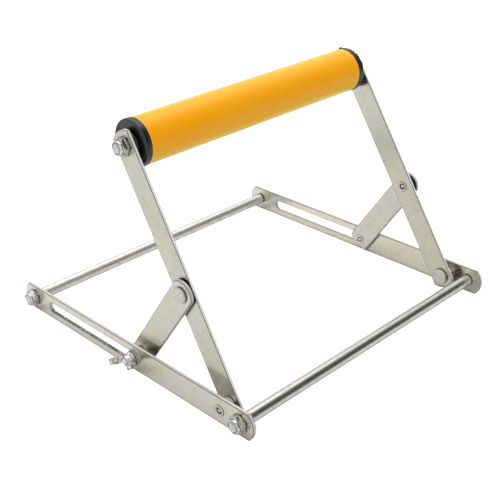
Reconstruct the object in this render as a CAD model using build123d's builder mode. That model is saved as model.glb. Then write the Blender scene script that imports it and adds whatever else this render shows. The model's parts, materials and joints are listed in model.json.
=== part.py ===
"""Folding, height-adjustable roller stand.

A flat base of two slotted side bars and two cross rods carries a pair of arms with a
free-running roller between their upper ends.  A link from each arm runs down to a stud that
slides in the side bar's slot and is held there by a wing nut.

Frame: origin on the floor at the centre of the base, +X from the rear rod to the front rod,
+Y from the left bar to the right bar, +Z up.  Millimetres and degrees.
"""

from build123d import *
from math import asin, atan, cos, degrees, radians, sin, tan
import os

# Base
rod_spacing = 250.0  # front rod axis to rear rod axis
base_width = 276.0  # over the outer faces of the side bars
bar_height = 22.0
bar_thickness = 3.0
bar_end_corner = 8.0  # rod axis to the corners of the bar end
bar_end_reach = 13.4  # rod axis to the tip of the bar end
rod_diameter = 10.0
slot_height = 8.9
slot_rear_end = -103.0  # x of the slot's rear tip
slot_front_play = 0.4  # left between the stud and the slot's front tip
edge_break = 0.3  # broken edge of the stamped flats

# Lift arms and links
arm_angle = 57.9  # above horizontal, at full height
arm_length = 195.5  # pivot to roller axle
arm_width = 20.8
arm_thickness = 2.5
arm_outer = 127.5  # y of the arms' outer faces, at the pivots
left_arm_lean_in = 4.5  # how much less it is at the roller axle
right_arm_lean_in = 1.7
arm_foot_corner = 6.0
arm_foot_reach = 10.5
arm_head_corner = 8.3
arm_head_reach = 11.5
pivot_setback = 20.5  # front rod axis to arm pivot
elbow_distance = 84.6  # arm pivot to link pivot
link_length = 87.2
link_width = 20.8
link_thickness = 3.0
link_end_corner = 4.2
link_end_reach = 7.2
link_head_reach = 10.8  # link pivot to the tip of the link's upper end
left_link_gap = 0.85  # between arm and link, at the link pivot
right_link_gap = 3.2
left_link_lean_out = 0.6  # how much farther out a link is at its stud
right_link_lean_out = 1.3

# Running clearances
face_play = 0.05  # between faces that slide on each other
shank_play = 0.05  # radial, between a shank and its hole
lean_play = 0.2  # between a square seat and the leaning face it faces

# Rivets
arm_head_diameter = 14.0
arm_head_height = 2.3
link_head_diameter = 12.6
link_head_height = 1.6
rivet_shank_diameter = 8.0
rivet_tenon_diameter = 6.6
rivet_edge = 0.5
rolled_diameter = 8.8  # over the rolled end, and of its countersink
rolled_crest_diameter = 6.6
rolled_height = 0.9
rolled_edge = 0.5
rolled_groove_diameter = 5.0
rolled_groove_depth = 0.7
rolled_button_diameter = 3.4
rolled_button_height = 0.3

# M8 hardware on the rods and the axle
thread_diameter = 8.0
thread_hole = 8.4
nut_flats = 13.0
nut_hex_height = 4.9
nut_height = 6.8
nut_corner_break = 0.2  # flats to the start of the 30 degree corner chamfer
nut_collar_straight = 5.6
nut_collar_diameter = 11.6
nut_mouth_diameter = 9.4
insert_diameter = 10.0
insert_floor = 5.0
insert_top = 6.2
collar_lip = 0.2  # radial, the rolled mouth over the insert's edge
thread_projection = 0.7
end_chamfer = 0.8

# M6 clamps
stud_thread_diameter = 6.0
stud_guide_diameter = 7.0  # plain part that slides in the slot
stud_rise = 0.5  # above the slot's centre line, at full height
washer_diameter = 12.4
washer_thickness = 1.5
spacer_diameter = 12.4
wing_base_diameter = 11.4
wing_top_diameter = 8.6
wing_body_height = 7.2
wing_reach = 14.2
wing_height = 13.2
wing_thickness = 3.7
left_wing_angle = 15.0  # rear wing below horizontal
right_wing_angle = -20.0

# Roller
roller_diameter = 36.0
sleeve_length = 224.0
sleeve_wall = 1.0
tube_wall = 1.5
flange_diameter = 36.6
flange_thickness = 5.5
flange_groove = 2.0  # from the sleeve's end to the fine groove round the flange
flange_groove_depth = 0.3
flange_rounding = 1.2
lug_reach = 19.2  # roller axis to the tip of the small lug on the right-hand flange
lug_width = 2.2
lug_angle = 112.0  # from +X towards +Z
cap_plug_length = 16.0
cap_hub_top = 119.2  # y of the hub's end face
axle_diameter = 8.0
axle_bush_diameter = 11.8
cap_hub_diameter = 15.6
cap_hub_bore = 13.2
cap_shoulder = 1.4  # thickness of the ring that covers the bearing's outer ring
cap_shoulder_bore = 18.4
cap_lead_in = 1.0

# Ball bearing, 8 x 22 x 7
bearing_width = 7.0
bearing_outer_diameter = 22.0
bearing_seat = 114.5  # y of the bearing's outer face
race_land = 1.85  # wall of each ring beside its groove
ball_diameter = 3.8
ball_count = 7
ball_play = 0.03
shield_thickness = 0.4
cage_wall = 1.0
cage_width = 4.4
circlip_thickness = 1.0
circlip_diameter = 12.8
circlip_seat_diameter = 7.2
circlip_mouth = 3.0

# Places worked out from the sizes above
bar_outer = base_width / 2
bar_inner = bar_outer - bar_thickness
rod_x = rod_spacing / 2
bar_middle = bar_height / 2
pivot_x = rod_x - pivot_setback
pivot_z = bar_middle
roller_x = pivot_x - arm_length * cos(radians(arm_angle))
roller_z = pivot_z + arm_length * sin(radians(arm_angle))
elbow_x = pivot_x - elbow_distance * cos(radians(arm_angle))
elbow_z = pivot_z + elbow_distance * sin(radians(arm_angle))
stud_z = bar_middle + stud_rise
link_angle = degrees(asin((elbow_z - stud_z) / link_length))
stud_x = elbow_x - link_length * cos(radians(link_angle))
washer_face = bar_outer + face_play
wing_face = washer_face + washer_thickness
thread_end = nut_height + thread_projection
rolled_depth = (rolled_diameter - rivet_tenon_diameter) / 2
sleeve_end = sleeve_length / 2
tube_diameter = roller_diameter - 2 * sleeve_wall
bearing_inboard = bearing_seat - bearing_width


def outward_plane(x, z, distance, tilt=0.0, lean=0.0):
    """Plane facing out to the left, its x axis tilted up from +X and leaning to the middle."""
    level, rise = cos(radians(tilt)), sin(radians(tilt))
    square, inward = cos(radians(lean)), sin(radians(lean))
    return Plane(
        origin=(x, -distance, z),
        x_dir=(square * level, inward, square * rise),
        z_dir=(inward * level, -square, inward * rise),
    )


def turning_plane(x, z):
    """Plane through a cross axis: local x is the radius, local y runs out to the left."""
    return Plane(origin=(x, 0, z), x_dir=(1, 0, 0), z_dir=(0, 0, -1))


def turning_axis(x, z):
    """Cross axis through (x, z), pointing out to the left."""
    return Axis((x, 0, z), (0, -1, 0))


def half_section(*corners):
    """Half section of a turned piece from its (radius, distance) corners."""
    with BuildSketch() as section:
        with BuildLine():
            Polyline(*corners, close=True)
        make_face()
    return section.sketch


def ring_section(inner, outer, start, end):
    """Half section of a plain ring from its radii and its two end faces."""
    return half_section((inner, start), (outer, start), (outer, end), (inner, end))


def rolled_end(face, out):
    """Corners of a rivet's rolled end on a face; out is 1 if it looks away from the middle."""
    return (
        (rivet_tenon_diameter / 2, face - out * rolled_depth),
        (rolled_diameter / 2, face),
        (rolled_diameter / 2, face + out * (rolled_height - rolled_edge)),
        (rolled_crest_diameter / 2, face + out * rolled_height),
        (rolled_groove_diameter / 2, face + out * (rolled_height - rolled_edge)),
        (rolled_groove_diameter / 2, face - out * rolled_groove_depth),
        (rolled_button_diameter / 2, face - out * rolled_groove_depth),
        (rolled_button_diameter / 2, face),
        (rolled_button_diameter / 2 - rolled_button_height, face + out * rolled_button_height),
        (0, face + out * rolled_button_height),
    )


def rolled_seat(face, out):
    """Half section of the countersink that a rolled end fills."""
    return half_section(
        (0, face + out * lean_play),
        (rolled_diameter / 2, face + out * lean_play),
        (rolled_diameter / 2, face),
        (rivet_tenon_diameter / 2, face - out * rolled_depth),
        (0, face - out * rolled_depth),
    )


def flat_outline(length, width, start_corner, start_reach, end_corner, end_reach):
    """Flat bar with shallow arc ends; its hole centres are at 0 and at length."""
    half = width / 2
    with BuildSketch() as outline:
        with BuildLine():
            Line((-start_corner, half), (length + end_corner, half))
            ThreePointArc(
                (length + end_corner, half), (length + end_reach, 0), (length + end_corner, -half)
            )
            Line((length + end_corner, -half), (-start_corner, -half))
            ThreePointArc((-start_corner, -half), (-start_reach, 0), (-start_corner, half))
        make_face()
    return outline.sketch


def arm_faces(lean_in, distance):
    """y of an arm's outer and inner face, at a distance from its pivot."""
    across = arm_thickness / cos(atan(lean_in / arm_length))
    outer = arm_outer - lean_in * distance / arm_length
    return outer, outer - across


def link_faces(lean_in, gap, lean_out, distance):
    """y of a link's inner and outer face, at a distance from its pivot."""
    across = link_thickness / cos(atan(lean_out / link_length))
    inner = arm_faces(lean_in, elbow_distance)[0] + gap + lean_out * distance / link_length
    return inner, inner + across


left_link_pivot_faces = link_faces(left_arm_lean_in, left_link_gap, left_link_lean_out, 0)
left_stud_faces = link_faces(left_arm_lean_in, left_link_gap, left_link_lean_out, link_length)
right_link_pivot_faces = link_faces(right_arm_lean_in, right_link_gap, right_link_lean_out, 0)
right_stud_faces = link_faces(right_arm_lean_in, right_link_gap, right_link_lean_out, link_length)
left_axle_faces = arm_faces(left_arm_lean_in, arm_length)
right_axle_faces = arm_faces(right_arm_lean_in, arm_length)
left_nut_seat = left_axle_faces[0] + lean_play
right_nut_seat = right_axle_faces[0] + lean_play

# ---------------------------------------------------------------- base

with BuildPart() as left_side_bar:
    with BuildSketch(outward_plane(-rod_x, bar_middle, bar_inner)):
        add(
            flat_outline(
                rod_spacing,
                bar_height,
                bar_end_corner,
                bar_end_reach,
                bar_end_corner,
                bar_end_reach,
            )
        )
    extrude(amount=bar_thickness)
    chamfer(left_side_bar.faces().filter_by(Axis.Y).edges(), edge_break)
    slot_front = stud_x + stud_guide_diameter / 2 + slot_front_play
    with BuildSketch(outward_plane(0, bar_middle, bar_inner)):
        with Locations((-rod_x, 0), (rod_x, 0)):
            Circle(thread_hole / 2)
        with Locations(((slot_front + slot_rear_end) / 2, 0)):
            SlotOverall(slot_front - slot_rear_end, slot_height)
    extrude(amount=bar_thickness, mode=Mode.SUBTRACT)
    with Locations(outward_plane(pivot_x, pivot_z, bar_outer)):
        CounterSinkHole(rivet_tenon_diameter / 2, rolled_diameter / 2, counter_sink_angle=90)
left_side_bar.part.label = "left_side_bar"

with BuildPart() as right_side_bar:
    mirror(left_side_bar.part, about=Plane.XZ)
right_side_bar.part.label = "right_side_bar"

cross_rod_section = half_section(
    (0, -bar_outer - thread_end),
    (thread_diameter / 2 - end_chamfer, -bar_outer - thread_end),
    (thread_diameter / 2, -bar_outer - thread_end + end_chamfer),
    (thread_diameter / 2, -bar_inner),
    (rod_diameter / 2 - end_chamfer, -bar_inner),
    (rod_diameter / 2, -bar_inner + end_chamfer),
    (rod_diameter / 2, bar_inner - end_chamfer),
    (rod_diameter / 2 - end_chamfer, bar_inner),
    (thread_diameter / 2, bar_inner),
    (thread_diameter / 2, bar_outer + thread_end - end_chamfer),
    (thread_diameter / 2 - end_chamfer, bar_outer + thread_end),
    (0, bar_outer + thread_end),
)

with BuildPart() as front_cross_rod:
    with BuildSketch(turning_plane(rod_x, bar_middle)):
        add(cross_rod_section)
    revolve(axis=turning_axis(rod_x, bar_middle))
front_cross_rod.part.label = "front_cross_rod"

with BuildPart() as rear_cross_rod:
    with BuildSketch(turning_plane(-rod_x, bar_middle)):
        add(cross_rod_section)
    revolve(axis=turning_axis(-rod_x, bar_middle))
rear_cross_rod.part.label = "rear_cross_rod"

# Lock nut, built at the origin with its seat on the XY plane: a chamfered hexagon, and a
# collar that is rolled over a nylon insert.
with BuildPart() as lock_nut:
    with BuildSketch():
        RegularPolygon(nut_flats / 2, 6, major_radius=False)
    extrude(amount=nut_hex_height)
    corner_radius = nut_flats / 2 / cos(radians(30))
    chamfer_radius = nut_flats / 2 - nut_corner_break
    corner_drop = (corner_radius - chamfer_radius) * tan(radians(30))
    with BuildSketch(Plane.XZ):
        with BuildLine():
            Polyline(
                (0, 0),
                (chamfer_radius, 0),
                (corner_radius, corner_drop),
                (corner_radius, nut_hex_height - corner_drop),
                (chamfer_radius, nut_hex_height),
                (0, nut_hex_height),
                close=True,
            )
        make_face()
    revolve(axis=Axis.Z, mode=Mode.INTERSECT)
    with BuildSketch(Plane.XZ):
        with BuildLine():
            Line((0, nut_hex_height), (nut_collar_diameter / 2, nut_hex_height))
            Line(
                (nut_collar_diameter / 2, nut_hex_height),
                (nut_collar_diameter / 2, nut_collar_straight),
            )
            TangentArc(
                (nut_collar_diameter / 2, nut_collar_straight),
                (nut_mouth_diameter / 2, nut_height),
                tangent=(0, 1),
            )
            Line((nut_mouth_diameter / 2, nut_height), (0, nut_height))
            Line((0, nut_height), (0, nut_hex_height))
        make_face()
    revolve(axis=Axis.Z)
    with BuildSketch():
        Circle(thread_diameter / 2)
    extrude(amount=nut_height, mode=Mode.SUBTRACT)
    with BuildSketch(Plane.XY.offset(insert_floor)):
        Circle(insert_diameter / 2)
    extrude(amount=insert_top - insert_floor, mode=Mode.SUBTRACT)
    with BuildSketch(Plane.XY.offset(insert_top)):
        Circle(nut_mouth_diameter / 2 - collar_lip)
    extrude(amount=nut_height - insert_top, mode=Mode.SUBTRACT)

with BuildPart() as nut_insert:
    with BuildSketch(Plane.XY.offset(insert_floor)):
        Circle(insert_diameter / 2)
        Circle(thread_diameter / 2, mode=Mode.SUBTRACT)
    extrude(amount=insert_top - insert_floor)


def end_planes(x, z, left_seat, right_seat, left_turn, right_turn):
    """Seats of the two nuts on one cross axis, each turned by its own angle."""
    left = (cos(radians(left_turn)), 0, sin(radians(left_turn)))
    right = (cos(radians(right_turn)), 0, sin(radians(right_turn)))
    return (
        Plane(origin=(x, -left_seat, z), x_dir=left, z_dir=(0, -1, 0)),
        Plane(origin=(x, right_seat, z), x_dir=right, z_dir=(0, 1, 0)),
    )


rod_nut_seats = (
    *end_planes(rod_x, bar_middle, bar_outer, bar_outer, 24, 40),
    *end_planes(-rod_x, bar_middle, bar_outer, bar_outer, 22, 8),
)
axle_nut_seats = end_planes(roller_x, roller_z, left_nut_seat, right_nut_seat, 4, 30)

with BuildPart() as cross_rod_nuts:
    with Locations(*rod_nut_seats):
        add(lock_nut.part)
cross_rod_nuts.part.label = "cross_rod_nuts"

with BuildPart() as cross_rod_nut_inserts:
    with Locations(*rod_nut_seats):
        add(nut_insert.part)
cross_rod_nut_inserts.part.label = "cross_rod_nut_inserts"

with BuildPart() as left_arm_pivot_rivet:
    head_face = arm_outer - arm_thickness - lean_play
    with BuildSketch(turning_plane(pivot_x, pivot_z)):
        add(
            half_section(
                (0, head_face - arm_head_height),
                (arm_head_diameter / 2 - rivet_edge, head_face - arm_head_height),
                (arm_head_diameter / 2, head_face - arm_head_height + rivet_edge),
                (arm_head_diameter / 2, head_face),
                (rivet_shank_diameter / 2, head_face),
                (rivet_shank_diameter / 2, bar_inner),
                (rivet_tenon_diameter / 2, bar_inner),
                *rolled_end(bar_outer, 1),
            )
        )
    revolve(axis=turning_axis(pivot_x, pivot_z))
left_arm_pivot_rivet.part.label = "left_arm_pivot_rivet"

with BuildPart() as right_arm_pivot_rivet:
    mirror(left_arm_pivot_rivet.part, about=Plane.XZ)
right_arm_pivot_rivet.part.label = "right_arm_pivot_rivet"

with BuildPart() as left_pivot_spacer:
    with BuildSketch(turning_plane(pivot_x, pivot_z)):
        add(
            ring_section(
                rivet_shank_diameter / 2, spacer_diameter / 2, arm_outer + lean_play, bar_inner
            )
        )
    revolve(axis=turning_axis(pivot_x, pivot_z))
left_pivot_spacer.part.label = "left_pivot_spacer"

with BuildPart() as right_pivot_spacer:
    mirror(left_pivot_spacer.part, about=Plane.XZ)
right_pivot_spacer.part.label = "right_pivot_spacer"

# ---------------------------------------------------------------- lift arms

def arm_shape(lean_in):
    """Left-hand arm that stands lean_in closer to the middle at the roller axle."""
    lean = degrees(atan(lean_in / arm_length))
    with BuildPart() as arm:
        with BuildSketch(outward_plane(pivot_x, pivot_z, arm_outer, 180 - arm_angle, lean)):
            add(
                flat_outline(
                    arm_length / cos(radians(lean)),
                    arm_width,
                    arm_foot_corner,
                    arm_foot_reach,
                    arm_head_corner,
                    arm_head_reach,
                )
            )
        extrude(amount=-arm_thickness)
        chamfer(arm.faces().sort_by(SortBy.AREA)[-2:].edges(), edge_break)
        with BuildSketch(outward_plane(0, 0, arm_outer)):
            with Locations((pivot_x, pivot_z)):
                Circle(rivet_shank_diameter / 2 + shank_play)
            with Locations((elbow_x, elbow_z)):
                Circle(rivet_tenon_diameter / 2)
            with Locations((roller_x, roller_z)):
                Circle(thread_hole / 2)
        extrude(amount=arm_width, both=True, mode=Mode.SUBTRACT)
        with BuildSketch(turning_plane(elbow_x, elbow_z)):
            add(rolled_seat(arm_faces(lean_in, elbow_distance)[1], -1))
        revolve(axis=turning_axis(elbow_x, elbow_z), mode=Mode.SUBTRACT)
    return arm.part


def link_rivet_shape(arm_lean_in, link_outer):
    """Left-hand rivet that hangs a link from an arm; link_outer is y of the link's outer face."""
    arm_face, rolled_face = arm_faces(arm_lean_in, elbow_distance)
    head_seat = link_outer + lean_play
    with BuildPart() as rivet:
        with BuildSketch(turning_plane(elbow_x, elbow_z)):
            add(
                half_section(
                    (0, head_seat + link_head_height),
                    (link_head_diameter / 2 - rivet_edge, head_seat + link_head_height),
                    (link_head_diameter / 2, head_seat + link_head_height - rivet_edge),
                    (link_head_diameter / 2, head_seat),
                    (rivet_shank_diameter / 2, head_seat),
                    (rivet_shank_diameter / 2, arm_face + lean_play),
                    (rivet_tenon_diameter / 2, arm_face + lean_play),
                    *rolled_end(rolled_face, -1),
                )
            )
        revolve(axis=turning_axis(elbow_x, elbow_z))
    return rivet.part


with BuildPart() as left_arm:
    add(arm_shape(left_arm_lean_in))
left_arm.part.label = "left_arm"

with BuildPart() as right_arm:
    mirror(arm_shape(right_arm_lean_in), about=Plane.XZ)
right_arm.part.label = "right_arm"

with BuildPart() as left_link_rivet:
    add(link_rivet_shape(left_arm_lean_in, left_link_pivot_faces[1]))
left_link_rivet.part.label = "left_link_rivet"

with BuildPart() as right_link_rivet:
    mirror(link_rivet_shape(right_arm_lean_in, right_link_pivot_faces[1]), about=Plane.XZ)
right_link_rivet.part.label = "right_link_rivet"

# ---------------------------------------------------------------- roller axle

left_axle_end = left_nut_seat + thread_end
right_axle_end = right_nut_seat + thread_end

with BuildPart() as roller_axle:
    with BuildSketch(turning_plane(roller_x, roller_z)):
        add(
            half_section(
                (0, -right_axle_end),
                (axle_diameter / 2 - end_chamfer, -right_axle_end),
                (axle_diameter / 2, -right_axle_end + end_chamfer),
                (axle_diameter / 2, left_axle_end - end_chamfer),
                (axle_diameter / 2 - end_chamfer, left_axle_end),
                (0, left_axle_end),
            )
        )
    revolve(axis=turning_axis(roller_x, roller_z))
    groove_outer = bearing_inboard
    groove_inner = bearing_inboard - circlip_thickness
    with BuildSketch(turning_plane(roller_x, roller_z)):
        for groove_start in (groove_inner, -groove_outer):
            add(
                ring_section(
                    circlip_seat_diameter / 2,
                    axle_diameter,
                    groove_start,
                    groove_start + circlip_thickness,
                )
            )
    revolve(axis=turning_axis(roller_x, roller_z), mode=Mode.SUBTRACT)
roller_axle.part.label = "roller_axle"

with BuildPart() as axle_nuts:
    with Locations(*axle_nut_seats):
        add(lock_nut.part)
axle_nuts.part.label = "axle_nuts"

with BuildPart() as axle_nut_inserts:
    with Locations(*axle_nut_seats):
        add(nut_insert.part)
axle_nut_inserts.part.label = "axle_nut_inserts"

with BuildPart() as axle_spacers:
    with BuildSketch(turning_plane(roller_x, roller_z)):
        for bush_start, bush_end in (
            (bearing_seat, left_axle_faces[1] - lean_play),
            (lean_play - right_axle_faces[1], -bearing_seat),
        ):
            add(ring_section(axle_diameter / 2, axle_bush_diameter / 2, bush_start, bush_end))
    revolve(axis=turning_axis(roller_x, roller_z))
axle_spacers.part.label = "axle_spacers"

with BuildPart() as axle_circlips:
    for clip_face in (bearing_inboard - circlip_thickness, -bearing_inboard):
        with BuildSketch(outward_plane(roller_x, roller_z, clip_face, arm_angle)):
            Circle(circlip_diameter / 2)
            Circle(circlip_seat_diameter / 2, mode=Mode.SUBTRACT)
            with Locations((circlip_diameter / 2, 0)):
                Rectangle(circlip_diameter / 2, circlip_mouth, mode=Mode.SUBTRACT)
        extrude(amount=circlip_thickness)
axle_circlips.part.label = "axle_circlips"

# ---------------------------------------------------------------- bearings

inner_ring_radius = axle_diameter / 2 + race_land
outer_ring_radius = bearing_outer_diameter / 2 - race_land
ball_circle = (inner_ring_radius + outer_ring_radius) / 2
bearing_middle = bearing_seat - bearing_width / 2
groove_radius = ball_diameter / 2 + ball_play

with BuildPart() as left_bearing_inner_ring:
    with BuildSketch(turning_plane(roller_x, roller_z)):
        add(
            ring_section(axle_diameter / 2, inner_ring_radius + 0.55, bearing_inboard, bearing_seat)
        )
        with Locations((ball_circle, bearing_middle)):
            Circle(groove_radius, mode=Mode.SUBTRACT)
    revolve(axis=turning_axis(roller_x, roller_z))
left_bearing_inner_ring.part.label = "left_bearing_inner_ring"

with BuildPart() as left_bearing_outer_ring:
    with BuildSketch(turning_plane(roller_x, roller_z)):
        add(
            ring_section(
                outer_ring_radius - 0.55,
                bearing_outer_diameter / 2,
                bearing_inboard,
                bearing_seat,
            )
        )
        with Locations((ball_circle, bearing_middle)):
            Circle(groove_radius, mode=Mode.SUBTRACT)
    revolve(axis=turning_axis(roller_x, roller_z))
left_bearing_outer_ring.part.label = "left_bearing_outer_ring"

with BuildPart() as left_bearing_balls:
    with Locations(outward_plane(roller_x, roller_z, bearing_middle)):
        with PolarLocations(ball_circle, ball_count):
            Sphere(ball_diameter / 2)
left_bearing_balls.part.label = "left_bearing_balls"

with BuildPart() as left_bearing_cage:
    cage_start = bearing_middle - cage_width / 2
    with BuildSketch(turning_plane(roller_x, roller_z)):
        add(
            ring_section(
                ball_circle - cage_wall / 2,
                ball_circle + cage_wall / 2,
                cage_start,
                cage_start + cage_width,
            )
        )
    revolve(axis=turning_axis(roller_x, roller_z))
    with Locations(outward_plane(roller_x, roller_z, bearing_middle)):
        with PolarLocations(ball_circle, ball_count):
            Cylinder(groove_radius, 3 * cage_wall, rotation=(0, 90, 0), mode=Mode.SUBTRACT)
left_bearing_cage.part.label = "left_bearing_cage"

with BuildPart() as left_bearing_shields:
    with BuildSketch(turning_plane(roller_x, roller_z)):
        for shield_face in (bearing_inboard + 0.3, bearing_seat - 0.3 - shield_thickness):
            add(
                ring_section(
                    inner_ring_radius + 0.65,
                    outer_ring_radius - 0.55,
                    shield_face,
                    shield_face + shield_thickness,
                )
            )
    revolve(axis=turning_axis(roller_x, roller_z))
left_bearing_shields.part.label = "left_bearing_shields"

with BuildPart() as right_bearing_inner_ring:
    mirror(left_bearing_inner_ring.part, about=Plane.XZ)
right_bearing_inner_ring.part.label = "right_bearing_inner_ring"

with BuildPart() as right_bearing_outer_ring:
    mirror(left_bearing_outer_ring.part, about=Plane.XZ)
right_bearing_outer_ring.part.label = "right_bearing_outer_ring"

with BuildPart() as right_bearing_balls:
    mirror(left_bearing_balls.part, about=Plane.XZ)
right_bearing_balls.part.label = "right_bearing_balls"

with BuildPart() as right_bearing_cage:
    mirror(left_bearing_cage.part, about=Plane.XZ)
right_bearing_cage.part.label = "right_bearing_cage"

with BuildPart() as right_bearing_shields:
    mirror(left_bearing_shields.part, about=Plane.XZ)
right_bearing_shields.part.label = "right_bearing_shields"

# ---------------------------------------------------------------- roller

with BuildPart() as roller_tube:
    with BuildSketch(turning_plane(roller_x, roller_z)):
        add(
            ring_section(
                tube_diameter / 2 - tube_wall, tube_diameter / 2, -sleeve_end, sleeve_end
            )
        )
    revolve(axis=turning_axis(roller_x, roller_z))
roller_tube.part.label = "roller_tube"

with BuildPart() as roller_sleeve:
    with BuildSketch(turning_plane(roller_x, roller_z)):
        add(ring_section(tube_diameter / 2, roller_diameter / 2, -sleeve_end, sleeve_end))
    revolve(axis=turning_axis(roller_x, roller_z))
    chamfer(roller_sleeve.faces().filter_by(Axis.Y).edges().sort_by(SortBy.RADIUS)[-2:], 0.4)
roller_sleeve.part.label = "roller_sleeve"

flange_radius = flange_diameter / 2
groove = sleeve_end + flange_groove
cap_end = sleeve_end + flange_thickness
plug_end = sleeve_end - cap_plug_length
plug_radius = tube_diameter / 2 - tube_wall

with BuildPart() as left_end_cap:
    with BuildSketch(turning_plane(roller_x, roller_z)):
        add(
            half_section(
                (bearing_outer_diameter / 2, plug_end),
                (plug_radius - cap_lead_in / 2, plug_end),
                (plug_radius, plug_end + cap_lead_in),
                (plug_radius, sleeve_end),
                (flange_radius - flange_groove_depth, sleeve_end),
                (flange_radius, sleeve_end + flange_groove_depth),
                (flange_radius, groove - flange_groove_depth),
                (flange_radius - flange_groove_depth, groove),
                (flange_radius, groove + flange_groove_depth),
                (flange_radius, cap_end - flange_rounding),
                (flange_radius - 0.3 * flange_rounding, cap_end - 0.3 * flange_rounding),
                (flange_radius - flange_rounding, cap_end),
                (flange_radius - 2.6, cap_end),
                (flange_radius - 3.1, cap_end - 0.4),
                (cap_hub_diameter / 2 + 0.8, cap_end - 0.4),
                (cap_hub_diameter / 2, cap_hub_top - 0.8),
                (cap_hub_diameter / 2 - 0.8, cap_hub_top),
                (cap_hub_bore / 2, cap_hub_top),
                (cap_hub_bore / 2, bearing_seat + cap_shoulder),
                (cap_shoulder_bore / 2, bearing_seat + cap_shoulder),
                (cap_shoulder_bore / 2, bearing_seat),
                (bearing_outer_diameter / 2, bearing_seat),
            )
        )
    revolve(axis=turning_axis(roller_x, roller_z))
left_end_cap.part.label = "left_end_cap"

with BuildPart() as right_end_cap:
    mirror(left_end_cap.part, about=Plane.XZ)
    lug_height = lug_reach - flange_radius + 1
    with BuildSketch(outward_plane(roller_x, roller_z, 1 - cap_end, lug_angle)):
        with Locations((lug_reach - lug_height / 2, 0)):
            Rectangle(lug_height, lug_width)
    extrude(amount=flange_thickness - flange_groove - 2)
right_end_cap.part.label = "right_end_cap"

# ---------------------------------------------------------------- links and clamps

stud_end = wing_face + wing_body_height + 1.0


def link_shape(pivot_inner, stud_inner):
    """Left-hand link, from y of its inner face at the link pivot and at the stud."""
    lean = degrees(atan((stud_inner - pivot_inner) / link_length))
    with BuildPart() as link:
        with BuildSketch(outward_plane(elbow_x, elbow_z, pivot_inner, 180 + link_angle, -lean)):
            add(
                flat_outline(
                    link_length / cos(radians(lean)),
                    link_width,
                    link_end_corner,
                    link_head_reach,
                    link_end_corner,
                    link_end_reach,
                )
            )
        extrude(amount=link_thickness)
        chamfer(link.faces().sort_by(SortBy.AREA)[-2:].edges(), edge_break)
        with BuildSketch(outward_plane(0, 0, stud_inner)):
            with Locations((elbow_x, elbow_z)):
                Circle(rivet_shank_diameter / 2 + shank_play)
            with Locations((stud_x, stud_z)):
                Circle(rivet_tenon_diameter / 2)
        extrude(amount=link_width, both=True, mode=Mode.SUBTRACT)
        with BuildSketch(turning_plane(stud_x, stud_z)):
            add(rolled_seat(stud_inner, -1))
        revolve(axis=turning_axis(stud_x, stud_z), mode=Mode.SUBTRACT)
    return link.part


def clamp_stud_shape(inner, outer):
    """Left-hand stud, from y of the link's two faces: rolled end, slot guide and thread."""
    with BuildPart() as stud:
        with BuildSketch(turning_plane(stud_x, stud_z)):
            add(
                half_section(
                    (0, stud_end),
                    (stud_thread_diameter / 2 - end_chamfer, stud_end),
                    (stud_thread_diameter / 2, stud_end - end_chamfer),
                    (stud_thread_diameter / 2, bar_outer - 0.2),
                    (stud_guide_diameter / 2, bar_outer - 0.2),
                    (stud_guide_diameter / 2, outer + lean_play),
                    (rivet_tenon_diameter / 2, outer + lean_play),
                    *rolled_end(inner, -1),
                )
            )
        revolve(axis=turning_axis(stud_x, stud_z))
    return stud.part


def stud_spacer_shape(outer):
    """Left-hand spacer between a link, from y of its outer face, and the side bar."""
    with BuildPart() as spacer:
        with BuildSketch(turning_plane(stud_x, stud_z)):
            add(
                ring_section(
                    stud_guide_diameter / 2,
                    spacer_diameter / 2,
                    outer + lean_play,
                    bar_inner - face_play,
                )
            )
        revolve(axis=turning_axis(stud_x, stud_z))
    return spacer.part


with BuildPart() as left_link:
    add(link_shape(left_link_pivot_faces[0], left_stud_faces[0]))
left_link.part.label = "left_link"

with BuildPart() as right_link:
    mirror(link_shape(right_link_pivot_faces[0], right_stud_faces[0]), about=Plane.XZ)
right_link.part.label = "right_link"

with BuildPart() as left_clamp_stud:
    add(clamp_stud_shape(*left_stud_faces))
left_clamp_stud.part.label = "left_clamp_stud"

with BuildPart() as right_clamp_stud:
    mirror(clamp_stud_shape(*right_stud_faces), about=Plane.XZ)
right_clamp_stud.part.label = "right_clamp_stud"

with BuildPart() as left_stud_spacer:
    add(stud_spacer_shape(left_stud_faces[1]))
left_stud_spacer.part.label = "left_stud_spacer"

with BuildPart() as right_stud_spacer:
    mirror(stud_spacer_shape(right_stud_faces[1]), about=Plane.XZ)
right_stud_spacer.part.label = "right_stud_spacer"

washer_bore = stud_thread_diameter / 2 + shank_play

with BuildPart() as left_clamp_washer:
    with BuildSketch(turning_plane(stud_x, stud_z)):
        add(ring_section(washer_bore, washer_diameter / 2, washer_face, wing_face))
    revolve(axis=turning_axis(stud_x, stud_z))
left_clamp_washer.part.label = "left_clamp_washer"


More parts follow.
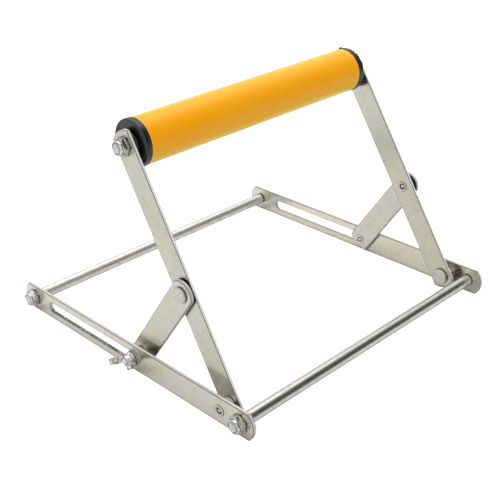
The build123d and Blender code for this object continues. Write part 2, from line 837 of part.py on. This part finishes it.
def wing_nut_shape(angle):
    """Left-hand wing nut whose rear wing points below horizontal by the angle."""
    rear, down = cos(radians(angle)), sin(radians(angle))
    with BuildPart() as wing_nut:
        with BuildSketch(turning_plane(stud_x, stud_z)):
            add(
                half_section(
                    (0, wing_face + face_play),
                    (wing_base_diameter / 2 - 0.4, wing_face + face_play),
                    (wing_base_diameter / 2, wing_face + 0.5),
                    (wing_base_diameter / 2, wing_face + 1.6),
                    (wing_top_diameter / 2 + 0.7, wing_face + 2.4),
                    (wing_top_diameter / 2, wing_face + wing_body_height - 0.5),
                    (wing_top_diameter / 2 - 0.5, wing_face + wing_body_height),
                    (0, wing_face + wing_body_height),
                )
            )
        revolve(axis=turning_axis(stud_x, stud_z))
        wing_plane = Plane(
            origin=(stud_x, -wing_face, stud_z),
            x_dir=(-rear, 0, -down),
            z_dir=(-down, 0, rear),
        )
        for side in (1, -1):
            with BuildSketch(wing_plane):
                with BuildLine():
                    Line((side * 3.2, 1.6), (side * 5.0, 1.6))
                    Spline(
                        (side * 5.0, 1.6),
                        (side * 8.2, 4.0),
                        (side * (wing_reach - 0.6), wing_height - 5.0),
                        (side * wing_reach, wing_height - 2.0),
                        (side * (wing_reach - 1.9), wing_height),
                        (side * 7.6, wing_height - 2.4),
                        (side * 4.2, 6.2),
                    )
                    Line((side * 4.2, 6.2), (side * 3.2, 6.2))
                    Line((side * 3.2, 6.2), (side * 3.2, 1.6))
                make_face()
            extrude(amount=wing_thickness / 2, both=True)
        with BuildSketch(turning_plane(stud_x, stud_z)):
            add(ring_section(0, washer_bore, wing_face, wing_face + wing_height))
        revolve(axis=turning_axis(stud_x, stud_z), mode=Mode.SUBTRACT)
    return wing_nut.part


with BuildPart() as left_wing_nut:
    add(wing_nut_shape(left_wing_angle))
left_wing_nut.part.label = "left_wing_nut"

with BuildPart() as right_clamp_washer:
    mirror(left_clamp_washer.part, about=Plane.XZ)
right_clamp_washer.part.label = "right_clamp_washer"

with BuildPart() as right_wing_nut:
    mirror(wing_nut_shape(right_wing_angle), about=Plane.XZ)
right_wing_nut.part.label = "right_wing_nut"

# ---------------------------------------------------------------- export

os.makedirs("parts", exist_ok=True)
for piece in (
    left_side_bar,
    right_side_bar,
    front_cross_rod,
    rear_cross_rod,
    cross_rod_nuts,
    cross_rod_nut_inserts,
    left_arm_pivot_rivet,
    right_arm_pivot_rivet,
    left_pivot_spacer,
    right_pivot_spacer,
    left_arm,
    right_arm,
    left_link_rivet,
    right_link_rivet,
    roller_axle,
    axle_nuts,
    axle_nut_inserts,
    axle_spacers,
    axle_circlips,
    left_bearing_inner_ring,
    right_bearing_inner_ring,
    left_bearing_outer_ring,
    right_bearing_outer_ring,
    left_bearing_balls,
    right_bearing_balls,
    left_bearing_cage,
    right_bearing_cage,
    left_bearing_shields,
    right_bearing_shields,
    roller_tube,
    roller_sleeve,
    left_end_cap,
    right_end_cap,
    left_link,
    right_link,
    left_clamp_stud,
    right_clamp_stud,
    left_stud_spacer,
    right_stud_spacer,
    left_clamp_washer,
    right_clamp_washer,
    left_wing_nut,
    right_wing_nut,
):
    export_step(piece.part, f"parts/{piece.part.label}.step")
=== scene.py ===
import json
import math

import bpy
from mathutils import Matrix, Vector

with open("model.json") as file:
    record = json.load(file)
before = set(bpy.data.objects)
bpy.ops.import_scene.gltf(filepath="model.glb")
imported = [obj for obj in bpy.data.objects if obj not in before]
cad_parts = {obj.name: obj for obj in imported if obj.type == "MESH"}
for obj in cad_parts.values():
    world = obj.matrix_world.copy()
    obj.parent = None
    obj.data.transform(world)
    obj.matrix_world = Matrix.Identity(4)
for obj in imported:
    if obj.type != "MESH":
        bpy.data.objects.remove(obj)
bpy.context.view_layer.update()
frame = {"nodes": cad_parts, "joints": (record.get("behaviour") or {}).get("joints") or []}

MM = 0.001
SIDES = ("left", "right")
BEVEL_SAMPLES = 6
CREVICE_SAMPLES = 8


# ------------------------------------------------------------------ node trees


class Graph:
    """A shader node tree with short calls for the nodes used here; lengths are millimetres."""

    def __init__(self, tree):
        self.tree = tree

    def add(self, kind, inputs=None, **settings):
        """A new node; inputs are values or sockets by input name or index."""
        node = self.tree.nodes.new("ShaderNode" + kind)
        for name, value in settings.items():
            setattr(node, name, value)
        for name, value in (inputs or {}).items():
            self.feed(node.inputs[name], value)
        return node

    def feed(self, socket, value):
        """Links a socket to an input, or sets the input to a value."""
        if isinstance(value, bpy.types.NodeSocket):
            self.tree.links.new(value, socket)
        else:
            socket.default_value = value

    def coordinates(self, turn=(0, 0, 0), scale=(1, 1, 1)):
        """Millimetre coordinates that stay with the piece, turned by degrees, then scaled."""
        source = self.add("TexCoord").outputs["Object"]
        turned = self.add(
            "Mapping",
            {"Vector": source, "Rotation": [math.radians(angle) for angle in turn]},
        )
        sized = self.add(
            "Mapping",
            {"Vector": turned.outputs[0], "Scale": [factor / MM for factor in scale]},
        )
        return sized.outputs[0]

    def noise(self, vector, scale, detail=3.0, roughness=0.5, distortion=0.0):
        """Cloudy noise from 0 to 1; scale is its features per millimetre."""
        node = self.add(
            "TexNoise",
            {
                "Vector": vector,
                "Scale": scale,
                "Detail": detail,
                "Roughness": roughness,
                "Distortion": distortion,
            },
        )
        return node.outputs["Fac"]

    def math(self, operation, first, second=0.0):
        node = self.add("Math", operation=operation)
        self.feed(node.inputs[0], first)
        self.feed(node.inputs[1], second)
        return node.outputs[0]

    def remap(self, value, from_low, from_high, to_low=0.0, to_high=1.0):
        """A smooth step from to_low to to_high while the value crosses the first range."""
        node = self.add(
            "MapRange",
            {
                "Value": value,
                "From Min": from_low,
                "From Max": from_high,
                "To Min": to_low,
                "To Max": to_high,
            },
            interpolation_type="SMOOTHSTEP",
        )
        return node.outputs[0]

    def blend(self, factor, first, second):
        """The first colour at factor 0, the second at factor 1."""
        node = self.add("Mix", data_type="RGBA")
        self.feed(node.inputs["Factor"], factor)
        self.feed(node.inputs["A"], colour(first))
        self.feed(node.inputs["B"], colour(second))
        return node.outputs["Result"]

    def bump(self, height, depth, normal=None):
        """Relief of the given depth, laid on top of another normal."""
        inputs = {"Height": height, "Distance": depth * MM, "Strength": 1.0}
        if normal is not None:
            inputs["Normal"] = normal
        return self.add("Bump", inputs).outputs[0]

    def rounding(self, radius):
        """Normal that rounds sharp edges off by the radius."""
        return self.add("Bevel", {"Radius": radius * MM}, samples=BEVEL_SAMPLES).outputs[0]

    def edges(self, radius):
        """0 on flat ground, rising to 1 within the radius of a sharp edge."""
        flat = self.add("NewGeometry").outputs["Normal"]
        turned = {0: self.rounding(radius), 1: flat}
        agreement = self.add("VectorMath", turned, operation="DOT_PRODUCT")
        return self.remap(agreement.outputs["Value"], 0.9998, 0.985)

    def sheared_faces(self):
        """1 on the narrow edge faces of the flat strips, 0 on their broad faces."""
        normal = self.add("TexCoord").outputs["Normal"]
        across = self.add("SeparateXYZ", {"Vector": normal}).outputs["Y"]
        return self.remap(self.math("ABSOLUTE", across), 0.4, 0.8, 1.0, 0.0)

    def grazing(self):
        """0 where the surface faces the eye, rising to 1 where it is seen edge on."""
        return self.add("LayerWeight", {"Blend": 0.5}).outputs["Facing"]

    def crevice_shade(self, reach):
        """Painted shade: 0 in the open, rising to 1 in corners and gaps narrower than the reach."""
        found = self.add("AmbientOcclusion", {"Distance": reach * MM}, samples=CREVICE_SAMPLES)
        return self.remap(found.outputs["AO"], 0.85, 0.25)


def colour(value):
    """Adds the alpha to a plain colour, and leaves a socket alone."""
    if isinstance(value, tuple) and len(value) == 3:
        return (*value, 1.0)
    return value


def material(name, **inputs):
    """A new material, its graph, and its Principled shader with the given inputs."""
    made = bpy.data.materials.new(name)
    made.use_nodes = True
    graph = Graph(made.node_tree)
    shader = made.node_tree.nodes["Principled BSDF"]
    for key, value in inputs.items():
        graph.feed(shader.inputs[key.replace("_", " ")], value)
    return made, graph, shader


# ------------------------------------------------------------------ materials

BAR_MIDDLE = 11.0  # height of the slots' centre line
SLOT_BAND = 4.8  # from that line to just beyond a slot's edges
SLOT_REACH = 110.0  # from the centre of the base to just beyond a slot's rear tip
WHITE = (1.0, 1.0, 1.0)
# painted shade colour for the left side bar's slot floor
SLOT_SHADE = (0.09, 0.09, 0.08)
BARE_ZINC = (0.62, 0.62, 0.58)
# painted shade colour for a thin line along the strips' sharp edges
STRIP_EDGE_SHADE = (0.05, 0.05, 0.045)
# painted shade colour for the strips' corners and gaps
STRIP_CREVICE_SHADE = (0.10, 0.095, 0.08)
BRIGHT_ZINC = (0.74, 0.74, 0.73)
ROD_ZINC = (0.66, 0.66, 0.64)
# painted light: a lighter copy of the rod zinc for the rear rod
REAR_ROD_LIT_ZINC = (0.72, 0.72, 0.70)
RIVET_ZINC = (0.58, 0.57, 0.51)
ZINC_GRAIN = (0.30, 0.29, 0.26)
ZINC_HOLLOW_DARK = (0.16, 0.16, 0.15)
# painted shade colour for a thin line along the zinc parts' sharp edges
ZINC_EDGE_SHADE = (0.14, 0.14, 0.13)
# painted shade colour for the zinc parts' corners and gaps
ZINC_CREVICE_SHADE = (0.04, 0.04, 0.03)
# painted reflection and painted shade colours for round bars
ROD_CORE_REFLECTION = (0.30, 0.30, 0.27)
ROD_RIM_SHADE = (0.26, 0.26, 0.25)


def slot_floor(graph):
    """1 on the upward-looking face of a side bar's slot."""
    place = graph.add("TexCoord").outputs
    at = graph.add("SeparateXYZ", {"Vector": place["Object"]}).outputs
    facing = graph.add("SeparateXYZ", {"Vector": place["Normal"]}).outputs
    off_middle = graph.math("ABSOLUTE", graph.math("SUBTRACT", at["Z"], BAR_MIDDLE * MM))
    level = graph.math("LESS_THAN", off_middle, SLOT_BAND * MM)
    inside = graph.math("LESS_THAN", graph.math("ABSOLUTE", at["X"]), SLOT_REACH * MM)
    upward = graph.math("GREATER_THAN", facing["Z"], 0.6)
    return graph.math("MULTIPLY", graph.math("MULTIPLY", level, inside), upward)


def slot_shade(graph):
    """Painted shade on the slot's floor: dark, broken by patches of plain zinc colour."""
    flecks = graph.noise(graph.coordinates(), 0.45, 4.0, 0.7)
    return graph.blend(graph.remap(flecks, 0.48, 0.66), SLOT_SHADE, BARE_ZINC)


def plated_strip(name, tilt, tone, edge_tone, slotted=False):
    """Satin plated strip, tilted above +X; tone scales its colours, edge_tone is the colour given
    to its narrow edge faces.
    """

    def toned(red, green, blue):
        return tuple(tone * part for part in (red, green, blue))

    made, graph, shader = material(name)
    patches = graph.coordinates()
    along = graph.coordinates(turn=(0, tilt, 0), scale=(0.06, 1.0, 1.0))
    sheared = graph.sheared_faces()
    warm = graph.noise(patches, 0.024, 3.0, 0.55, 0.6)
    rosy = graph.noise(graph.coordinates(turn=(40, 10, 70)), 0.03, 2.0, 0.5, 0.8)
    green = graph.noise(graph.coordinates(turn=(80, 30, 20)), 0.03, 2.0, 0.5, 0.5)
    grey, straw = toned(0.61, 0.60, 0.55), toned(0.615, 0.59, 0.485)
    base = graph.blend(graph.remap(warm, 0.40, 0.62), grey, straw)
    base = graph.blend(graph.remap(rosy, 0.50, 0.68, 0.0, 0.6), base, toned(0.62, 0.57, 0.53))
    base = graph.blend(graph.remap(green, 0.50, 0.68, 0.0, 0.4), base, toned(0.53, 0.56, 0.47))
    cloud = graph.noise(patches, 0.30, 6.0, 0.65)
    base = graph.blend(graph.remap(cloud, 0.46, 0.76, 0.0, 0.50), base, toned(0.42, 0.41, 0.36))
    specks = graph.noise(patches, 0.7, 5.0, 0.75)
    base = graph.blend(graph.remap(specks, 0.60, 0.80, 0.0, 0.5), base, toned(0.30, 0.29, 0.25))
    # narrow edge faces take edge_tone; the arms' near-white edge faces are a painted highlight
    edge_colour = (edge_tone, edge_tone, 0.97 * edge_tone)
    base = graph.blend(graph.math("MULTIPLY", sheared, 0.9), base, edge_colour)
    if slotted:
        # painted shade on the floor of the slot
        base = graph.blend(slot_floor(graph), base, slot_shade(graph))
    # painted shade: a dark line along every sharp edge
    base = graph.blend(graph.math("MULTIPLY", graph.edges(0.9), 0.95), base, STRIP_EDGE_SHADE)
    # painted shade: darker in corners and in gaps between parts
    base = graph.blend(graph.math("MULTIPLY", graph.crevice_shade(3.5), 0.8), base, STRIP_CREVICE_SHADE)
    graph.feed(shader.inputs["Base Color"], base)
    graph.feed(shader.inputs["Metallic"], graph.remap(sheared, 0.0, 1.0, 1.0, 0.15))
    lines = graph.noise(along, 2.2, 4.0, 0.65)
    fine = graph.noise(along, 9.0, 3.0, 0.7)
    rough = graph.remap(cloud, 0.3, 0.75, 0.21, 0.27)
    rough = graph.math("ADD", rough, graph.remap(lines, 0.3, 0.7, -0.02, 0.03))
    rough = graph.math("ADD", rough, graph.math("MULTIPLY", sheared, 0.30))
    graph.feed(shader.inputs["Roughness"], rough)
    relief = graph.bump(lines, 0.010, graph.rounding(0.25))
    relief = graph.bump(fine, 0.003, relief)
    relief = graph.bump(graph.noise(patches, 0.05, 2.0), 0.06, relief)
    graph.feed(shader.inputs["Normal"], relief)
    return made


def zinc_plate(name, base, shine, sheen, band=0.0, lumps=0.03):
    """Zinc plate whose roughness runs from shine to sheen.

    band darkens the middle of a drawn round bar as a painted reflection, and its rim as painted
    shade.
    lumps is the depth in millimetres of its unevenness, which is also darker where it is deep.
    """
    made, graph, shader = material(name, Metallic=1.0)
    spots = graph.coordinates()
    stretch = (1.0, 0.08, 1.0) if band else (1.0, 1.0, 1.0)
    grain = graph.noise(graph.coordinates(scale=stretch), 5.0, 4.0, 0.65)
    dull = graph.noise(spots, 0.22, 5.0, 0.62, 0.3)
    uneven = graph.noise(spots, 0.45, 2.0, 0.5, 0.8)
    tint = graph.blend(graph.remap(dull, 0.4, 0.75), base, tuple(0.82 * part for part in base))
    tint = graph.blend(graph.remap(grain, 0.45, 0.8, 0.0, 0.45), tint, ZINC_GRAIN)
    # darker where the unevenness is deep
    hollow_dark = graph.remap(uneven, 0.53, 0.45, 0.0, 4.0 * lumps)
    tint = graph.blend(hollow_dark, tint, ZINC_HOLLOW_DARK)
    # painted shade: a dark line along every sharp edge
    tint = graph.blend(graph.math("MULTIPLY", graph.edges(0.35), 0.55), tint, ZINC_EDGE_SHADE)
    if band:
        # painted reflection: a dark band down the middle of a round bar
        core = graph.remap(graph.grazing(), 0.22, 0.38, band, 0.0)
        tint = graph.blend(core, tint, ROD_CORE_REFLECTION)
        # painted shade: darker towards the rim of a round bar
        rim = graph.remap(graph.grazing(), 0.50, 0.85, 0.0, 0.7)
        tint = graph.blend(rim, tint, ROD_RIM_SHADE)
    # painted shade: darker in corners and in gaps between parts
    tint = graph.blend(graph.math("MULTIPLY", graph.crevice_shade(2.5), 0.92), tint, ZINC_CREVICE_SHADE)
    graph.feed(shader.inputs["Base Color"], tint)
    graph.feed(shader.inputs["Roughness"], graph.remap(dull, 0.3, 0.8, shine, sheen))
    relief = graph.bump(grain, 0.010, graph.rounding(0.2))
    relief = graph.bump(uneven, lumps, relief)
    graph.feed(shader.inputs["Normal"], relief)
    return made


def nylon():
    """Natural nylon of the lock nuts' inserts, scored by the thread."""
    made, graph, shader = material("nylon", Roughness=0.45)
    cloud = graph.noise(graph.coordinates(), 0.9, 3.0)
    tint = graph.blend(graph.remap(cloud, 0.3, 0.7), (0.66, 0.66, 0.60), (0.52, 0.52, 0.46))
    graph.feed(shader.inputs["Base Color"], tint)
    graph.feed(shader.inputs["Normal"], graph.bump(cloud, 0.03))
    return made


def bearing_steel():
    """Ground ring steel with fine circular marks."""
    made, graph, shader = material("bearing_steel", Metallic=1.0)
    marks = graph.noise(graph.coordinates(scale=(1.0, 0.2, 1.0)), 6.0, 3.0)
    tint = graph.blend(graph.remap(marks, 0.3, 0.7), (0.56, 0.56, 0.57), (0.46, 0.46, 0.47))
    graph.feed(shader.inputs["Base Color"], tint)
    graph.feed(shader.inputs["Roughness"], graph.remap(marks, 0.3, 0.7, 0.18, 0.32))
    graph.feed(shader.inputs["Normal"], graph.bump(marks, 0.006))
    return made


def orange_sleeve():
    """Glossy orange-yellow sleeve with faint haze, scuffs and a slightly wavy surface, with a
    painted sheen where it is seen edge on and a painted highlight along its rims.
    """
    made, graph, shader = material("orange_sleeve", IOR=1.47, Specular_IOR_Level=0.15)
    spots = graph.coordinates()
    cloud = graph.noise(spots, 0.03, 3.0, 0.5)
    tint = graph.blend(graph.remap(cloud, 0.3, 0.7), (0.95, 0.365, 0.006), (0.93, 0.385, 0.010))
    # painted sheen: yellower where the sleeve is seen edge on
    edge_on_sheen = graph.remap(graph.grazing(), 0.15, 0.75)
    tint = graph.blend(edge_on_sheen, tint, (0.78, 0.47, 0.025))
    scuffs = graph.noise(graph.coordinates(scale=(1.0, 0.12, 1.0)), 0.9, 6.0, 0.7)
    tint = graph.blend(graph.remap(scuffs, 0.62, 0.85, 0.0, 0.15), tint, (0.95, 0.50, 0.08))
    # painted highlight: paler along the sleeve's rims
    rim_highlight = graph.edges(0.6)
    tint = graph.blend(graph.math("MULTIPLY", rim_highlight, 0.5), tint, (0.95, 0.66, 0.30))
    graph.feed(shader.inputs["Base Color"], tint)
    graph.feed(shader.inputs["Roughness"], graph.remap(scuffs, 0.35, 0.8, 0.20, 0.32))
    relief = graph.bump(graph.noise(spots, 0.04, 1.0), 0.10)
    relief = graph.bump(graph.noise(spots, 1.6, 3.0), 0.003, relief)
    graph.feed(shader.inputs["Normal"], relief)
    return made


def black_cap():
    """Black moulded plastic with a fine skin, a little dust and a painted highlight along its sharp
    edges.
    """
    made, graph, shader = material("black_cap")
    spots = graph.coordinates()
    skin = graph.noise(spots, 2.6, 3.0, 0.6)
    dust = graph.noise(spots, 0.30, 5.0, 0.65)
    dusty = graph.remap(dust, 0.55, 0.85, 0.0, 0.4)
    tint = graph.blend(dusty, (0.004, 0.004, 0.005), (0.016, 0.016, 0.015))
    # painted highlight: lighter along the cap's sharp edges
    tint = graph.blend(graph.math("MULTIPLY", graph.edges(0.35), 0.5), tint, (0.06, 0.06, 0.07))
    graph.feed(shader.inputs["Base Color"], tint)
    graph.feed(shader.inputs["Roughness"], graph.remap(skin, 0.3, 0.7, 0.22, 0.36))
    relief = graph.bump(skin, 0.012, graph.rounding(0.5))
    graph.feed(shader.inputs["Normal"], relief)
    return made


def dress(nodes, finish):
    """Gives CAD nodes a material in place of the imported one."""
    for name in nodes:
        mesh = frame["nodes"][name].data
        mesh.materials.clear()
        mesh.materials.append(finish)


def both(*names):
    """The left and right node names of each kind."""
    return [f"{side}_{name}" for name in names for side in SIDES]


def joint(name):
    """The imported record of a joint."""
    return next(one for one in frame["joints"] if one["name"] == name)


def dress_all():
    """Gives every CAD node its material."""
    pivot = joint("arm_fold")["pos_m"]
    elbow = joint("left_link_pivot")["pos_m"]
    arm_tilt = math.degrees(math.atan2(elbow[2] - pivot[2], elbow[0] - pivot[0]))
    stud = joint("left_wing_nut_turn")["pos_m"]
    link_tilt = math.degrees(math.atan2(elbow[2] - stud[2], elbow[0] - stud[0]))
    dress(["left_side_bar"], plated_strip("plated_bar_slot_shade", 0, 1.04, 0.60, slotted=True))
    dress(["right_side_bar"], plated_strip("plated_bar", 0, 1.06, 0.60))
    # painted highlight: the arms' narrow edge faces are near white
    dress(both("arm"), plated_strip("plated_arm", arm_tilt, 0.91, 0.95))
    dress(both("link"), plated_strip("plated_link", link_tilt, 0.94, 0.55))
    bright_rod = zinc_plate("zinc_rod", ROD_ZINC, 0.27, 0.40, band=0.55)
    dress(["front_cross_rod", "roller_axle"], bright_rod)
    # painted light: the rear rod is the same zinc as the front rod, painted lighter and with a
    # weaker dark band
    dull_rod = zinc_plate("zinc_rod_dull", REAR_ROD_LIT_ZINC, 0.42, 0.58, band=0.15)
    dress(["rear_cross_rod"], dull_rod)
    turned = zinc_plate("zinc_turned", BRIGHT_ZINC, 0.08, 0.20)
    dress(["axle_spacers", "axle_circlips", "roller_tube"], turned)
    dress(both("pivot_spacer", "clamp_stud", "stud_spacer", "clamp_washer"), turned)
    pressed = zinc_plate("zinc_pressed", BRIGHT_ZINC, 0.06, 0.16, lumps=0.12)
    dress(["cross_rod_nuts", "axle_nuts"], pressed)
    cast = zinc_plate("zinc_cast", BRIGHT_ZINC, 0.06, 0.18, lumps=0.22)
    dress(both("wing_nut"), cast)
    headed = zinc_plate("zinc_headed", RIVET_ZINC, 0.18, 0.32)
    dress(both("arm_pivot_rivet", "link_rivet"), headed)
    dress(["cross_rod_nut_inserts", "axle_nut_inserts"], nylon())
    steel = bearing_steel()
    for piece in ("inner_ring", "outer_ring", "balls", "cage", "shields"):
        dress(both(f"bearing_{piece}"), steel)
    dress(["roller_sleeve"], orange_sleeve())
    dress(both("end_cap"), black_cap())


# ------------------------------------------------------------------ studio

FLOOR_HALF = 6.0
FLOOR_LIFT = 0.80
CAMERA_TARGET = Vector((29.57, -31.57, 70.02)) * MM
CAMERA_DISTANCE = 754.6 * MM
CAMERA_AZIMUTH = math.radians(45.931)
CAMERA_ELEVATION = math.radians(27.622)
CAMERA_ROLL = math.radians(-1.476)
CAMERA_LENS = 68.93
SENSOR_WIDTH = 36.0
CLIP_NEAR = 0.02
CLIP_FAR = 50.0
DIM_SIDE = Vector((0.68, 0.62, 0.34)).normalized()
DIM_LIGHT = (0.08, 0.08, 0.08)
LAMP_PLACE = (-0.3, 0.2, 1.6)
LAMP_SIZE = (1.6, 1.6)
LAMP_POWER = 14.0


def floor():
    """White paper floor, which only the camera sees glow."""
    mesh = bpy.data.meshes.new("floor")
    half = FLOOR_HALF
    corners = [(-half, -half, 0), (half, -half, 0), (half, half, 0), (-half, half, 0)]
    mesh.from_pydata(corners, [], [(0, 1, 2, 3)])
    made, graph, shader = material("floor_paper", Roughness=0.9)
    tone = graph.noise(graph.coordinates(), 0.01, 2.0)
    tint = graph.blend(tone, (0.86, 0.86, 0.86), (0.88, 0.88, 0.88))
    graph.feed(shader.inputs["Base Color"], tint)
    graph.feed(shader.inputs["Specular IOR Level"], 0.0)
    graph.feed(shader.inputs["Emission Color"], colour(WHITE))
    seen = graph.add("LightPath").outputs["Is Camera Ray"]
    graph.feed(shader.inputs["Emission Strength"], graph.math("MULTIPLY", seen, FLOOR_LIFT))
    mesh.materials.append(made)
    plane = bpy.data.objects.new("floor", mesh)
    bpy.context.scene.collection.objects.link(plane)


def studio_dome():
    """Even white dome with one dim side, which the round metal shows as a dark band."""
    world = bpy.data.worlds.new("studio")
    bpy.context.scene.world = world
    world.use_nodes = True
    graph = Graph(world.node_tree)
    background = world.node_tree.nodes["Background"]
    direction = graph.add("TexCoord").outputs["Generated"]
    facing = graph.add("VectorMath", {0: direction, 1: DIM_SIDE}, operation="DOT_PRODUCT")
    dimness = graph.remap(facing.outputs["Value"], 0.70, 0.88)
    light = graph.blend(dimness, WHITE, DIM_LIGHT)
    seen = graph.add("LightPath").outputs["Is Camera Ray"]
    graph.feed(background.inputs["Color"], graph.blend(seen, light, WHITE))
    background.inputs["Strength"].default_value = 1.0


def soft_light():
    """Large lamp overhead, aimed at the origin."""
    data = bpy.data.lights.new("overhead", "AREA")
    data.shape = "RECTANGLE"
    data.size, data.size_y = LAMP_SIZE
    data.energy = LAMP_POWER
    lamp = bpy.data.objects.new("overhead", data)
    bpy.context.scene.collection.objects.link(lamp)
    lamp.location = LAMP_PLACE
    lamp.rotation_euler = (-Vector(LAMP_PLACE)).to_track_quat("-Z", "Y").to_euler()


def camera():
    """Camera that looks at the target from its azimuth and elevation, rolled about its axis."""
    data = bpy.data.cameras.new("camera")
    data.lens = CAMERA_LENS
    data.sensor_width = SENSOR_WIDTH
    made = bpy.data.objects.new("camera", data)
    bpy.context.scene.collection.objects.link(made)
    level = math.cos(CAMERA_ELEVATION)
    back = Vector(
        (
            math.sin(CAMERA_AZIMUTH) * level,
            -math.cos(CAMERA_AZIMUTH) * level,
            math.sin(CAMERA_ELEVATION),
        )
    )
    made.location = CAMERA_TARGET + back * CAMERA_DISTANCE
    aim = (-back).to_track_quat("-Z", "Y").to_matrix()
    right, up = aim.col[0], aim.col[1]
    made.rotation_mode = "QUATERNION"
    tilted = aim.copy()
    tilted.col[0] = right * math.cos(CAMERA_ROLL) + up * math.sin(CAMERA_ROLL)
    tilted.col[1] = up * math.cos(CAMERA_ROLL) - right * math.sin(CAMERA_ROLL)
    made.rotation_quaternion = tilted.to_quaternion()
    data.clip_start = CLIP_NEAR
    data.clip_end = CLIP_FAR
    bpy.context.scene.camera = made


# ------------------------------------------------------------------ the scene

bpy.context.scene.view_settings.view_transform = "Standard"
dress_all()
floor()
studio_dome()
soft_light()
camera()
